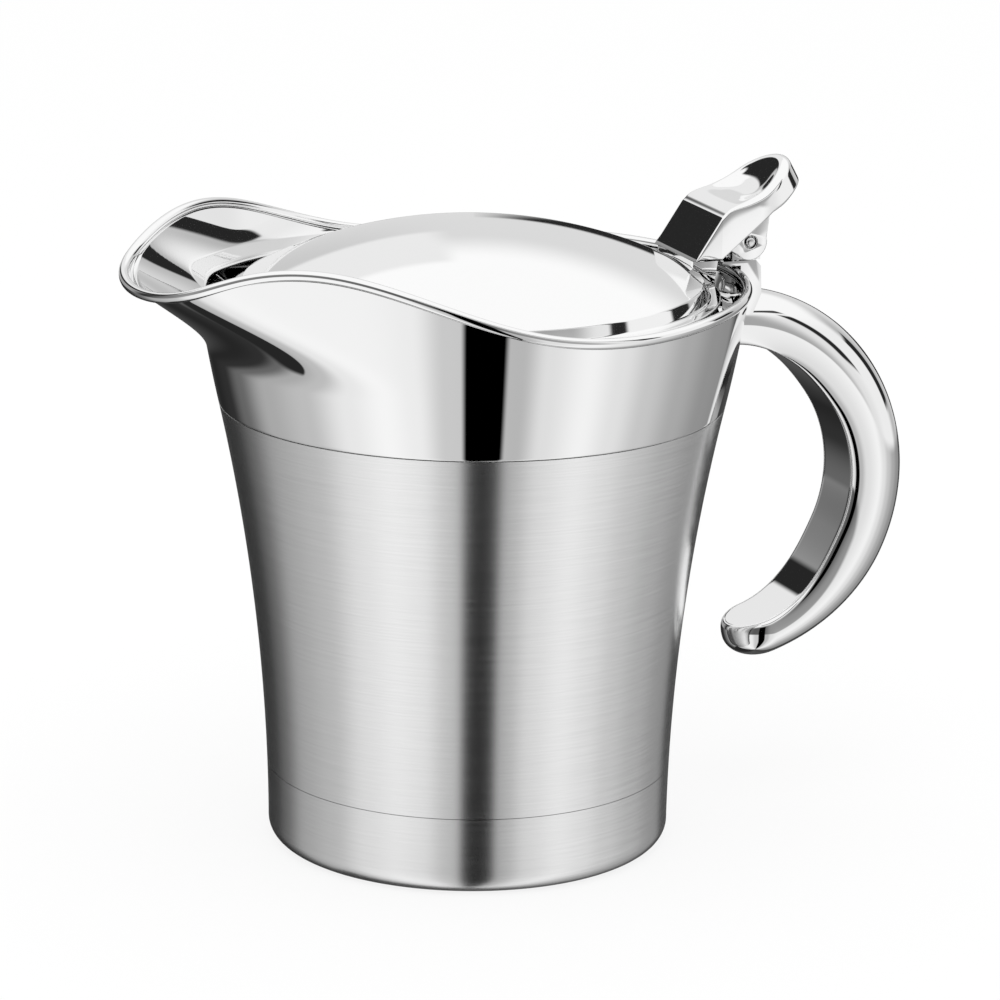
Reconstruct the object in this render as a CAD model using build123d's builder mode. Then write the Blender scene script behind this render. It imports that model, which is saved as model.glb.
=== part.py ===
from build123d import *
import os
from math import atan2, cos, pi, radians, sin, sqrt

# Insulated gravy boat, double walled, with a lid that a thumb lever lifts.
# Millimetres. Z is up, the boat stands on Z = 0, and the body's axis is the Z axis.
# The spout points to -X, the handle to +X, and the boat is symmetrical across Y = 0.

# Sheet and walls
sheet = 0.7
air_gap = 3.2
lap_clearance = 0.1
lap_length = 3.0

# Body
foot_radius = 43.3
seam_height = 97.0
cup_height = 17.0
foot_fillet = 4.0
floor_height = 8.0
floor_fillet = 9.0

# Collar, spout and rim
rim_rise = 25.0
rim_radius = 58.6
collar_spread = 4.6
spout_start = 12.0
spout_top = 38.0
spout_swell = 23.2
flank_angle = 128.0
shoulder_rise = 38.8
shoulder_reach = 48.0
tip_rise = 30.0
back_rise = 26.0
rim_lip = 0.4
rim_depth = 2.2
rim_round = 0.5
merge_start = 6.0
merge_end = 20.0

# Lid
lid_gap = 4.6
lid_drop = 2.0
lid_flange = 3.6
lid_step = 3.0
lid_slope = 1.0
lid_lift = 0.2
lid_dome = 12.0
lid_sheet = 0.8
lid_round = 0.9

# Hinge and thumb lever
pin_offset = 1.7
pin_rise = 31.5
pin_radius = 1.1
pin_head = 0.35
lever_width = 20.0
lever_wall = 1.8
lever_foot = 3.3
ear_thickness = 1.8
ear_inset = 0.8
ear_radius = 3.9
dish_half = 7.6
dish_depth = 2.0
dish_inset = 8.6
knuckle_radius = 3.3
knuckle_gap = 0.3
running_gap = 0.08
block_width = 16.0
block_gap = 0.3
seat_gap = 0.05
rim_swell = 0.2

# Outlines seen from the side, as (along, up) from the pin
brow_top = (-7.3, 6.0)
crest_points = [(-5.2, 7.7), (-0.8, 9.3), (3.0, 11.0), (7.0, 13.9)]
tip_top = (12.4, 16.9)
tip_foot = (14.4, 12.3)
belly_points = [(12.4, 11.1), (10.2, 9.6), (7.7, 7.9), (4.7, 6.4)]
cheek_points = [(-5.5, -1.8), (-7.4, -3.3)]
brow_reach = 13.7
ear_points = [(4.6, 7.0), (-5.0, -1.0), (-1.7, -3.5), (1.7, -3.5), (3.9, 0.0)]
bracket_reach = 13.5
bracket_end = 7.6

# The hinge block seen from the side, as (along from the pin, down from the block's top)
block_points = [(-6.1, 0.0), (1.9, 0.0), (3.1, 1.4), (3.4, 7.5), (1.4, 12.0), (-6.1, 12.0)]
block_round = 0.5

# Handle
handle_width = 17.0
handle_depth = 14.3
handle_wall = 0.9
handle_radius = 43.3
handle_drop = 23.5
handle_inset = 0.3
handle_start = 96.0
handle_end = -72.5
handle_corner = 2.0
handle_side = 0.3
face_margin = 1.6

# Worked out from the values above
rim_height = seam_height + rim_rise
back_height = seam_height + back_rise
shoulder_height = seam_height + shoulder_rise
tip_height = seam_height + tip_rise
rim_stack = 2 * sheet + lap_clearance
lid_radius = rim_radius - rim_stack - lid_gap
lid_edge_height = rim_height - lid_drop
dome_radius = lid_radius - lid_flange
dome_base = lid_edge_height + lid_step
dome_ball = (dome_radius**2 + lid_dome**2) / (2 * lid_dome)
dish_ball = (dish_half**2 + dish_depth**2) / (2 * dish_depth)
pin_x = rim_radius + pin_offset
pin_z = seam_height + pin_rise
ear_outside = lever_width / 2 - ear_inset
ear_inside = ear_outside - ear_thickness
handle_x = rim_radius - handle_inset
handle_z = seam_height - handle_drop

# The body's side is one long arc that stands upright at the foot; the collar starts in line with it
seam_radius = rim_radius - collar_spread
flare = seam_radius - foot_radius
flare_radius = (flare**2 + seam_height**2) / (2 * flare)
collar_slope = seam_height / (flare_radius - flare)
collar_bend = (collar_spread - collar_slope * rim_rise) / rim_rise**2


def body_radius(z):
    """Outer radius of the brushed body at a height."""
    return foot_radius + flare_radius - sqrt(flare_radius**2 - z**2)


def wall_points(low, high, inset):
    """Three points of the body's long arc, drawn in by an inset."""
    return [(body_radius(z) - inset, z) for z in (low, (low + high) / 2, high)]


def collar_radius(z):
    """Outer radius of the round part of the collar."""
    rise = z - seam_height
    return seam_radius + collar_slope * rise + collar_bend * rise**2


def smooth_step(value, low, high):
    """0 below low, 1 above high, and a smooth step between."""
    t = min(max((value - low) / (high - low), 0.0), 1.0)
    return t * t * (3 - 2 * t)


def collar_point(angle, z, inset):
    """A point of the collar's outline: a round body and a smaller round nose, joined by flanks."""
    flank = radians(flank_angle)
    reach = spout_swell * smooth_step(z - seam_height, spout_start, spout_top)
    centre = reach / (1 + cos(flank))
    body = collar_radius(z) - inset
    nose = body + centre * cos(flank)
    turn = abs(atan2(sin(angle), cos(angle)))
    if turn <= flank:
        r = body
    elif turn <= atan2(nose * sin(flank), nose * cos(flank) - centre):
        r = body / cos(turn - flank)
    else:
        r = sqrt(nose**2 - (centre * sin(turn)) ** 2) - centre * cos(turn)
    return (r * cos(angle), r * sin(angle))


def collar_fill(bottom, top, inset):
    """A solid inside the collar's outline, drawn in by an inset worked out at each height."""
    steps = 14
    points = 40
    with BuildPart() as fill:
        for i in range(steps + 1):
            z = bottom + (top - bottom) * i / steps
            outline = [collar_point(2 * pi * k / points, z, inset(z)) for k in range(points)]
            with BuildSketch(Plane.XY.offset(z)):
                with BuildLine():
                    Spline(*outline, periodic=True)
                make_face()
        loft()
    return fill.part


def liner_inset(z):
    """Inset of the liner's outer face: the air gap below, closing on the collar at the rim."""
    closed = smooth_step(z - seam_height, merge_start, merge_end)
    return sheet + lap_clearance + (air_gap - lap_clearance) * (1 - closed)


tip_reach = collar_radius(tip_height) + spout_swell * smooth_step(tip_rise, spout_start, spout_top)


def below_rim(drop):
    """Everything under the rim's line, lowered by a drop: up over the shoulder, then down to the back."""
    margin = 10
    neck = tip_reach - shoulder_reach
    climb = shoulder_height - tip_height
    span = shoulder_reach + rim_radius
    fall = shoulder_height - rim_height
    with BuildPart() as below:
        with BuildSketch(Plane.XZ):
            with BuildLine():
                rim = Spline(
                    (-tip_reach - margin, tip_height - 0.4 * climb - drop),
                    (-tip_reach + 0.12 * neck, tip_height + 0.1 * climb - drop),
                    (-shoulder_reach - 0.48 * neck, shoulder_height - 0.26 * climb - drop),
                    (-shoulder_reach, shoulder_height - drop),
                    (-shoulder_reach + 0.17 * span, shoulder_height - 0.33 * fall - drop),
                    (-shoulder_reach + 0.36 * span, rim_height + 0.19 * fall - drop),
                    (-shoulder_reach + 0.56 * span, rim_height - drop),
                    (-shoulder_reach + 0.81 * span, rim_height + 0.04 * fall - drop),
                    (rim_radius + margin, back_height - drop),
                )
                Polyline(rim @ 1, (rim_radius + margin, 0), (-tip_reach - margin, 0), rim @ 0)
            make_face()
        extrude(amount=rim_radius + margin, both=True)
    return below.part


# Solids that several pieces are cut from or cut by
fill_top = shoulder_height + 2
under_rim = below_rim(0)
under_band = below_rim(rim_depth)
collar_solid = collar_fill(seam_height, fill_top, lambda z: 0)
band_solid = collar_fill(seam_height, fill_top, lambda z: -rim_lip)
band_bore = collar_fill(seam_height, fill_top + 1, lambda z: rim_stack + rim_lip)

# Base cup: a drawn cup, flat underneath, whose wall laps over the outer shell's lower neck
with BuildPart() as base_cup:
    with BuildSketch(Plane.XZ):
        with BuildLine():
            wall = ThreePointArc(*wall_points(0, cup_height, 0))
            bore = ThreePointArc(*wall_points(sheet, cup_height, sheet))
            Line(wall @ 1, bore @ 1)
            Polyline(bore @ 0, (0, sheet), (0, 0), wall @ 0)
        make_face()
        fillet(vertices().sort_by_distance(wall @ 0)[0], foot_fillet)
        fillet(vertices().sort_by_distance(bore @ 0)[0], foot_fillet - sheet)
    revolve(axis=Axis.Z)
base_cup.part.label = "base_cup"

# Outer shell: the brushed flared wall, necked in at both ends to lap inside its neighbours
neck = sheet + lap_clearance
with BuildPart() as outer_shell:
    with BuildSketch(Plane.XZ):
        with BuildLine():
            wall = ThreePointArc(*wall_points(cup_height, seam_height, 0))
            back = ThreePointArc(*wall_points(cup_height + neck, seam_height - neck, sheet))
            foot = ThreePointArc(*wall_points(cup_height - lap_length, cup_height, neck))
            head_end = (collar_radius(seam_height + lap_length) - neck, seam_height + lap_length)
            head = Line((seam_radius - neck, seam_height), head_end)
            Line(foot @ 1, wall @ 0)
            Line(wall @ 1, head @ 0)
            Polyline(head @ 1, head @ 1 - (sheet, 0), head @ 0 - (sheet, neck / 2), back @ 1)
            Polyline(foot @ 0, foot @ 0 - (sheet, 0), foot @ 1 - (sheet, -neck / 2), back @ 0)
        make_face()
    revolve(axis=Axis.Z)
outer_shell.part.label = "outer_shell"

# Spout collar: polished sheet, round over the seam and drawn out into the pouring spout
collar_bore = collar_fill(seam_height - sheet, fill_top + sheet, lambda z: sheet)
with BuildPart() as spout_collar:
    add(collar_solid)
    add(collar_bore, mode=Mode.SUBTRACT)
    add(under_band, mode=Mode.INTERSECT)
spout_collar.part.label = "spout_collar"

# Spout liner: the inner skin of the collar, butted to the inner vessel at the seam's height
liner_solid = collar_fill(seam_height, fill_top, liner_inset)
liner_bore = collar_fill(seam_height - sheet, fill_top + sheet, lambda z: liner_inset(z) + sheet)
with BuildPart() as spout_liner:
    add(liner_solid)
    add(liner_bore, mode=Mode.SUBTRACT)
    add(under_band, mode=Mode.INTERSECT)
spout_liner.part.label = "spout_liner"

# Inner vessel: the drawn cup that holds the gravy, with a rounded floor
liner_gap = liner_inset(seam_height)
with BuildPart() as inner_vessel:
    with BuildSketch(Plane.XZ):
        with BuildLine():
            wall = ThreePointArc(*wall_points(floor_height, seam_height - lap_clearance, liner_gap))
            bore_points = wall_points(floor_height + sheet, seam_height - lap_clearance, liner_gap + sheet)
            bore = ThreePointArc(*bore_points)
            Line(wall @ 1, bore @ 1)
            Polyline(bore @ 0, (0, floor_height + sheet), (0, floor_height), wall @ 0)
        make_face()
        fillet(vertices().sort_by_distance(wall @ 0)[0], floor_fillet)
        fillet(vertices().sort_by_distance(bore @ 0)[0], floor_fillet - sheet)
    revolve(axis=Axis.Z)
inner_vessel.part.label = "inner_vessel"

# Rim band: the rolled and polished rim that joins collar and liner
with BuildPart() as rim_band:
    add(band_solid)
    add(band_bore, mode=Mode.SUBTRACT)
    add(under_rim, mode=Mode.INTERSECT)
    add(under_band, mode=Mode.SUBTRACT)
    fillet(rim_band.edges(), rim_round)
rim_band.part.label = "rim_band"

# Handle: two pressings with a D-shaped section, turned about one centre from root to rounded end
handle_axis = Axis((handle_x, 0, handle_z), (0, 1, 0))
handle_turn = handle_start - handle_end


def handle_plane(angle):
    """A plane through the handle's centre at an angle above level, with x pointing outwards."""
    a = radians(angle)
    return Plane(origin=(handle_x, 0, handle_z), x_dir=(cos(a), 0, sin(a)), z_dir=(-sin(a), 0, cos(a)))


def handle_outline(inset):
    """The D section: a flat inner face, short straight sides and a half-oval back."""
    inner = handle_radius - handle_depth + inset
    back = handle_radius - inset
    half = handle_width / 2 - inset
    side = inner + (back - inner) * handle_side
    with BuildSketch() as outline:
        with BuildLine():
            EllipticalCenterArc((side, 0), back - side, half, -90, arc_size=180)
            Polyline((side, half), (inner, half), (inner, -half), (side, -half))
        make_face()
        corners = outline.vertices().filter_by_position(Axis.X, inner - 0.1, inner + 0.1)
        fillet(corners, max(handle_corner - inset, 0.4))
    return outline.sketch


def handle_body(section):
    """A section turned about the handle's centre, closed by half a turn about its own middle."""
    start = handle_plane(handle_start)
    end = handle_plane(handle_end)
    half_plane = Pos(handle_radius, handle_width, 0) * Rectangle(2 * handle_radius, 2 * handle_width)
    with BuildPart() as body:
        with BuildSketch(start):
            add(section)
        revolve(axis=handle_axis, revolution_arc=handle_turn)
        with BuildSketch(end):
            add(section)
            add(half_plane, mode=Mode.INTERSECT)
        revolve(axis=Axis(end.origin, end.x_dir), revolution_arc=-180)
    return body.part


handle_solid = handle_body(handle_outline(0))
handle_core = handle_body(handle_outline(handle_wall))
strip_inner = handle_radius - handle_depth
strip_width = handle_width - 2 * face_margin
strip_section = Pos(strip_inner + handle_wall / 2, 0) * Rectangle(handle_wall, strip_width)
handle_strip = handle_body(strip_section)

# The round back of the boat and its rim, filled in: the handle and the hinge block seat on it
fill_bottom = handle_z
rim_bottom = back_height - rim_depth - 2 * rim_lip
with BuildPart() as boat_back:
    with BuildSketch(Plane.XZ):
        with BuildLine():
            body = ThreePointArc(*wall_points(fill_bottom, seam_height, -seat_gap))
            middle = (seam_height + rim_bottom) / 2
            collar = ThreePointArc(
                body @ 1,
                (collar_radius(middle) + seat_gap, middle),
                (collar_radius(rim_bottom) + seat_gap, rim_bottom),
            )
            rim_outside = collar_radius(back_height) + rim_lip + seat_gap
            Polyline(
                collar @ 1,
                (rim_outside, rim_bottom),
                (rim_outside, back_height + rim_swell + seat_gap),
                (0, back_height + rim_swell + seat_gap),
                (0, fill_bottom),
                body @ 0,
            )
        make_face()
    revolve(axis=Axis.Z)
seat_cut = Rot(0, 0, 180) * boat_back.part

# Handle back: the rounded outer pressing, open on the palm side where the strip closes it
with BuildPart() as handle_back:
    add(handle_solid)
    add(handle_core, mode=Mode.SUBTRACT)
    add(handle_strip, mode=Mode.SUBTRACT)
    add(seat_cut, mode=Mode.SUBTRACT)
handle_back.part.label = "handle_back"

# Handle face: the flat strip that closes the palm side of the handle
with BuildPart() as handle_face:
    add(handle_strip)
    add(seat_cut, mode=Mode.SUBTRACT)
handle_face.part.label = "handle_face"

# Hinge block: a cast saddle on the rim and the handle's root, with a knuckle for the pin
block_top = pin_z - ear_radius - block_gap
knuckle_half = ear_inside - knuckle_gap
with BuildPart() as hinge_block:
    with BuildSketch(Plane.XZ):
        with BuildLine():
            Polyline(*[(pin_x + x, block_top - down) for x, down in block_points], close=True)
        make_face()
    extrude(amount=block_width / 2, both=True)
    fillet(hinge_block.edges().filter_by(Axis.Y).sort_by(Axis.Z)[-2:], block_round)
    add(seat_cut, mode=Mode.SUBTRACT)
    add(handle_solid, mode=Mode.SUBTRACT)
    with BuildSketch(Plane.XZ):
        with Locations((pin_x, pin_z)):
            Circle(knuckle_radius)
        with Locations((pin_x, (pin_z + block_top) / 2)):
            Rectangle(2 * knuckle_radius, pin_z - block_top + block_gap)
    extrude(amount=knuckle_half, both=True)
    with BuildSketch(Plane.XZ):
        with Locations((pin_x, pin_z)):
            Circle(pin_radius)
    extrude(amount=block_width, both=True, mode=Mode.SUBTRACT)
hinge_block.part.label = "hinge_block"

# Hinge pin: pressed into the knuckle, with lightly domed ends standing out of the ears
pin_end = ear_outside + pin_head
with BuildPart() as hinge_pin:
    with BuildSketch(Plane.XZ):
        with Locations((pin_x, pin_z)):
            Circle(pin_radius)
    extrude(amount=pin_end, both=True)
    fillet(hinge_pin.edges().filter_by(GeomType.CIRCLE), pin_radius * 0.6)
hinge_pin.part.label = "hinge_pin"

# Lid: one stamping with a shallow dome, a step down at its edge and a narrow flange
dome_centre = dome_base + lid_dome - dome_ball
dome_inside = dome_radius - lid_sheet


def dome_point(r, inset):
    """A point of the lid's crown at a radius, drawn in by an inset along the ball's radius."""
    return (r, dome_centre + sqrt((dome_ball - inset) ** 2 - r**2))


with BuildPart() as lid:
    with BuildSketch(Plane.XZ):
        with BuildLine():
            crown = ThreePointArc(dome_point(0, 0), dome_point(dome_radius / 2, 0), (dome_radius, dome_base))
            step = Line(crown @ 1, (dome_radius + lid_slope, lid_edge_height))
            flange = Line(step @ 1, (lid_radius, lid_edge_height + lid_lift))
            under_flange = Line(flange @ 1 - (0, lid_sheet), step @ 1 - (lid_sheet, lid_sheet))
            under_step = Line(under_flange @ 1, dome_point(dome_inside, lid_sheet))
            under = ThreePointArc(under_step @ 1, dome_point(dome_inside / 2, lid_sheet), dome_point(0, lid_sheet))
            Line(flange @ 1, under_flange @ 0)
            Line(under @ 1, crown @ 0)
        make_face()
        fillet(vertices().sort_by_distance(crown @ 1)[0], lid_round)
        fillet(vertices().sort_by_distance(step @ 1)[0], lid_round)
        fillet(vertices().sort_by_distance(flange @ 1)[0], lid_sheet * 0.45)
    revolve(axis=Axis.Z)
lid.part.label = "lid"

# Everything under the lid's upper face, used to seat the bracket on it
with BuildPart() as lid_fill:
    with BuildSketch(Plane.XZ):
        with BuildLine():
            crown = ThreePointArc(dome_point(0, 0), dome_point(dome_radius / 2, 0), (dome_radius, dome_base))
            step = Line(crown @ 1, (dome_radius + lid_slope, lid_edge_height))
            flange = Line(step @ 1, (lid_radius, lid_edge_height + lid_lift))
            Polyline(flange @ 1, (lid_radius + 1, 0), (0, 0), crown @ 0)
        make_face()
        fillet(vertices().sort_by_distance(crown @ 1)[0], lid_round)
        fillet(vertices().sort_by_distance(step @ 1)[0], lid_round)
    revolve(axis=Axis.Z)

# Lid bracket: the plate that is welded on the lid's back edge and carries the lever
lever_bottom = pin_z - lever_foot
bracket_front = pin_x - bracket_reach
with BuildPart() as lid_bracket:
    with BuildSketch(Plane.XZ):
        with BuildLine():
            Polyline(
                (bracket_front, lever_bottom - seat_gap),
                (pin_x - bracket_end, lever_bottom - seat_gap),
                (lid_radius - lid_slope / 2, lid_edge_height + lid_slope),
                (lid_radius - lid_slope / 2, lid_edge_height - lid_slope),
                (bracket_front, lid_edge_height - lid_slope),
                close=True,
            )
        make_face()
    extrude(amount=ear_outside, both=True)
    add(lid_fill.part, mode=Mode.SUBTRACT)
lid_bracket.part.label = "lid_bracket"


def from_pin(points):
    """Points measured from the pin, seen from the side."""
    return [(pin_x + x, pin_z + z) for x, z in points]


# Ears: the two plates under the lever that the pin goes through
with BuildPart() as ears:
    with BuildSketch(Plane.XZ):
        with BuildLine():
            Polyline(*from_pin(ear_points), close=True)
        make_face()
        with Locations((pin_x, pin_z)):
            Circle(ear_radius)
    extrude(amount=ear_outside, both=True)
    with Locations((pin_x, 0, pin_z)):
        Box(lever_width, 2 * ear_inside, lever_width, mode=Mode.SUBTRACT)

# Thumb lever: a cast cap with a sloping front, a dished thumb rest and two ears for the pin
foot_corner = (-brow_reach, -lever_foot)
tip_lean = Vector(tip_foot[0] - tip_top[0], 0, tip_foot[1] - tip_top[1])
tip_plane = Plane(
    origin=(pin_x + tip_top[0], 0, pin_z + tip_top[1]), x_dir=(-tip_lean.Z, 0, tip_lean.X), z_dir=tip_lean
)
rest_line = Vector(tip_top[0] - crest_points[2][0], 0, tip_top[1] - crest_points[2][1]).normalized()
rest_normal = Vector(-rest_line.Z, 0, rest_line.X)
dish_centre = tip_plane.origin - rest_line * dish_inset + rest_normal * (dish_ball - dish_depth)
with BuildPart() as thumb_lever:
    with BuildSketch(Plane.XZ):
        with BuildLine():
            crest = Spline(*from_pin([brow_top, *crest_points, tip_top]))
            belly = Spline(*from_pin([tip_foot, *belly_points]))
            Line(crest @ 1, belly @ 0)
            Polyline(belly @ 1, *from_pin([*cheek_points, foot_corner, brow_top]))
        make_face()
    extrude(amount=lever_width, both=True)
    with BuildSketch(tip_plane):
        with Locations((-lever_width / 2, 0)):
            Circle(lever_width / 2)
        with Locations((-3 * lever_width / 2, 0)):
            Rectangle(2 * lever_width, lever_width)
    extrude(amount=2 * lever_width, both=True, mode=Mode.INTERSECT)
    hollow_top = [(x, z - 1.15 * lever_wall) for x, z in crest_points[:2]]
    hollow_end = belly_points[-1][0] - lever_wall
    hollow = [
        (lever_wall * 1.3 - brow_reach, -lever_foot - 1),
        (brow_top[0] + lever_wall * 0.7, brow_top[1] - lever_wall * 0.8),
        *hollow_top,
        (hollow_end, hollow_top[-1][1]),
        (hollow_end, -lever_foot - 1),
    ]
    with BuildSketch(Plane.XZ):
        with BuildLine():
            Polyline(*from_pin(hollow), close=True)
        make_face()
    extrude(amount=ear_inside, both=True, mode=Mode.SUBTRACT)
    add(ears.part)
    with BuildSketch(Plane.XZ):
        with Locations((pin_x, pin_z)):
            Circle(pin_radius + running_gap)
    extrude(amount=lever_width, both=True, mode=Mode.SUBTRACT)
    with Locations(dish_centre):
        Sphere(dish_ball, mode=Mode.SUBTRACT)
thumb_lever.part.label = "thumb_lever"


# Each piece is written to its own file
pieces = [base_cup, outer_shell, spout_collar, inner_vessel, spout_liner, rim_band, handle_back, handle_face]
pieces += [hinge_block, hinge_pin, lid, lid_bracket, thumb_lever]
os.makedirs("parts", exist_ok=True)
for piece in pieces:
    export_step(piece.part, f"parts/{piece.part.label}.step")
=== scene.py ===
# %% [markdown]
# # An insulated gravy boat
# A double-walled steel gravy boat stands on a pale table: a brushed, flared body, a mirror-polished
# collar with a drawn spout, a domed lid on a hinge and a C-shaped handle. The lengths below are the
# real ones in millimetres, and every mesh is made in metres in the frame of the CAD part.

from math import cos, pi, radians, sin, sqrt

import bmesh
import bpy
import numpy as np
from mathutils import Matrix, Vector


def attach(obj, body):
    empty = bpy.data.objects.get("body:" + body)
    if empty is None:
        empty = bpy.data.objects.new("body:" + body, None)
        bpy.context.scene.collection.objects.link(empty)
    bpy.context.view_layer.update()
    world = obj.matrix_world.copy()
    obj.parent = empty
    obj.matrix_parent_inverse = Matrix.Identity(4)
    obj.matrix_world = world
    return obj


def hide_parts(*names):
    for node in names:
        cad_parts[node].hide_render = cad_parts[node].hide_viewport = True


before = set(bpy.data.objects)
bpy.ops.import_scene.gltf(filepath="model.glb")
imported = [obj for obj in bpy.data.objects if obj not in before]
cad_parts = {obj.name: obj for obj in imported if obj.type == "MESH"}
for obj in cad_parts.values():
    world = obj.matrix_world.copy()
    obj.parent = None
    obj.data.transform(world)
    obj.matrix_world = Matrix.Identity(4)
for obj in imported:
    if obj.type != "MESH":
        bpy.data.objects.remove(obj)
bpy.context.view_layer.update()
MM = 0.001
print("pieces in the frame:", sorted(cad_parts))

# %% [markdown]
# ## Sizes
# The real boat is pressed and turned, so a few lengths describe all of it. They are named here once,
# and each piece below is worked out from them.

# %% Sizes of the boat in millimetres, and its angles
SHEET = 0.7
LAP = 0.1
AIR_GAP = 3.2
FOOT_RADIUS = 43.3
SEAM = 97.0
CUP_TOP = 17.0
RIM_RISE = 25.0
RIM_RADIUS = 58.6
COLLAR_SPREAD = 4.6
SPOUT_START, SPOUT_TOP, SPOUT_SWELL = 12.0, 38.0, 21.8
# counted from the handle's side: where the round body turns into the spout's straight flank
FLANK = radians(128)
RIM_STACK = 2 * SHEET + LAP
RIM_LIP, RIM_DEPTH = 0.4, 2.2
PIN_X, PIN_Z = 60.3, 128.5
HANDLE_X, HANDLE_Z = 58.3, 73.5
HANDLE_RADIUS, HANDLE_DEPTH, HANDLE_WIDTH = 43.3, 14.3, 17.0
# the handle's root and its free end, in degrees round its arc
HANDLE_START, HANDLE_END = 96.0, -72.5

# the body's side is one long arc that stands upright at the foot; the collar starts in line with it
SEAM_RADIUS = RIM_RADIUS - COLLAR_SPREAD
FLARE = SEAM_RADIUS - FOOT_RADIUS
FLARE_RADIUS = (FLARE**2 + SEAM**2) / (2 * FLARE)
COLLAR_SLOPE = SEAM / (FLARE_RADIUS - FLARE)
COLLAR_BEND = (COLLAR_SPREAD - COLLAR_SLOPE * RIM_RISE) / RIM_RISE**2


def body_radius(z):
    """Outer radius of the brushed body at a height."""
    return FOOT_RADIUS + FLARE_RADIUS - np.sqrt(FLARE_RADIUS**2 - np.square(z))


print("the side's arc has a radius of", round(FLARE_RADIUS), "mm")

# %% [markdown]
# ## Finishes
# All of the boat is stainless steel, but in three finishes: brushed in fine level lines, polished to a
# mirror, and satin inside. The fine lines are an effect that two finishes share, so they are a node
# group that puts out a grey mask. The shader that turns the mask into metal stays in each material.


# %% Node helpers and a node group for fine turned lines
def link(tree, a, b):
    """Joins socket a to socket b."""
    tree.links.new(a, b)


def math_node(tree, operation, *values):
    """One step of arithmetic on numbers or sockets. Gives back the socket of its result."""
    node = tree.nodes.new("ShaderNodeMath")
    node.operation = operation
    for socket, value in zip(node.inputs, values):
        if isinstance(value, (int, float)):
            socket.default_value = value
        else:
            link(tree, value, socket)
    return node.outputs[0]


def new_tree(name, tree_kind, inputs, output, output_kind):
    """A node group with its sockets and both end nodes. Inputs are lists of names under their kind."""
    tree = bpy.data.node_groups.new(name, tree_kind)
    for kind, labels in inputs.items():
        for label in labels:
            tree.interface.new_socket(label, in_out="INPUT", socket_type="NodeSocket" + kind)
    tree.interface.new_socket(output, in_out="OUTPUT", socket_type="NodeSocket" + output_kind)
    return tree, tree.nodes.new("NodeGroupInput"), tree.nodes.new("NodeGroupOutput")


def fine_lines_group():
    """Level lines round the boat's axis: noise that is short in height and long round the body."""
    inputs = {"Float": ["Lines per metre", "Length"]}
    tree, inside, outside = new_tree("fine lines", "ShaderNodeTree", inputs, "Lines", "Float")
    place = tree.nodes.new("ShaderNodeTexCoord")
    split = tree.nodes.new("ShaderNodeSeparateXYZ")
    link(tree, place.outputs["Object"], split.inputs[0])
    angle = math_node(tree, "ARCTAN2", split.outputs[1], split.outputs[0])
    high = math_node(tree, "MULTIPLY", split.outputs[2], inside.outputs["Lines per metre"])
    # the angle's sine and cosine keep the pattern closed where the angle jumps
    along = math_node(tree, "SINE", angle)
    across = math_node(tree, "COSINE", angle)
    join = tree.nodes.new("ShaderNodeCombineXYZ")
    scale = math_node(tree, "DIVIDE", 1.0, inside.outputs["Length"])
    link(tree, math_node(tree, "MULTIPLY", along, scale), join.inputs[0])
    link(tree, math_node(tree, "MULTIPLY", across, scale), join.inputs[1])
    link(tree, high, join.inputs[2])
    noise = tree.nodes.new("ShaderNodeTexNoise")
    noise.inputs["Scale"].default_value = 1.0
    noise.inputs["Detail"].default_value = 3.0
    link(tree, join.outputs[0], noise.inputs["Vector"])
    link(tree, noise.outputs["Fac"], outside.inputs["Lines"])
    return tree


FINE_LINES = fine_lines_group()
print("node group:", FINE_LINES.name)


# %% Steel in its finishes
def steel(name, colour, roughness):
    """Plain metal: the colour is what it reflects, the roughness how far that is blurred."""
    material = bpy.data.materials.new(name)
    material.use_nodes = True
    shader = material.node_tree.nodes["Principled BSDF"]
    shader.inputs["Base Color"].default_value = (colour, colour, colour, 1)
    shader.inputs["Metallic"].default_value = 1.0
    shader.inputs["Roughness"].default_value = roughness
    return material


LINE_LENGTH, LINE_RELIEF = 0.35, 0.01
QUARTER_TURN = 0.25


def lined_steel(name, greys, roughness, bump, lines, stretch):
    """Metal with turned lines, which vary its grey, its gloss and, a little, its surface."""
    dark, light = greys
    smooth, rough = roughness
    material = steel(name, light, rough)
    tree = material.node_tree
    shader = tree.nodes["Principled BSDF"]
    group = tree.nodes.new("ShaderNodeGroup")
    group.node_tree = FINE_LINES
    group.inputs["Lines per metre"].default_value = lines
    group.inputs["Length"].default_value = LINE_LENGTH
    grey = tree.nodes.new("ShaderNodeMix")
    grey.data_type = "RGBA"
    link(tree, group.outputs["Lines"], grey.inputs["Factor"])
    grey.inputs["A"].default_value = (dark, dark, dark, 1)
    grey.inputs["B"].default_value = (light, light, light, 1)
    link(tree, grey.outputs["Result"], shader.inputs["Base Color"])
    spread = tree.nodes.new("ShaderNodeMapRange")
    link(tree, group.outputs["Lines"], spread.inputs["Value"])
    spread.inputs["To Min"].default_value = smooth
    spread.inputs["To Max"].default_value = rough
    link(tree, spread.outputs["Result"], shader.inputs["Roughness"])
    relief = tree.nodes.new("ShaderNodeBump")
    relief.inputs["Strength"].default_value = bump
    relief.inputs["Distance"].default_value = LINE_RELIEF * MM
    link(tree, group.outputs["Lines"], relief.inputs["Height"])
    link(tree, relief.outputs["Normal"], shader.inputs["Normal"])
    shader.inputs["Anisotropic"].default_value = stretch
    shader.inputs["Anisotropic Rotation"].default_value = QUARTER_TURN
    return material


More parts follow.
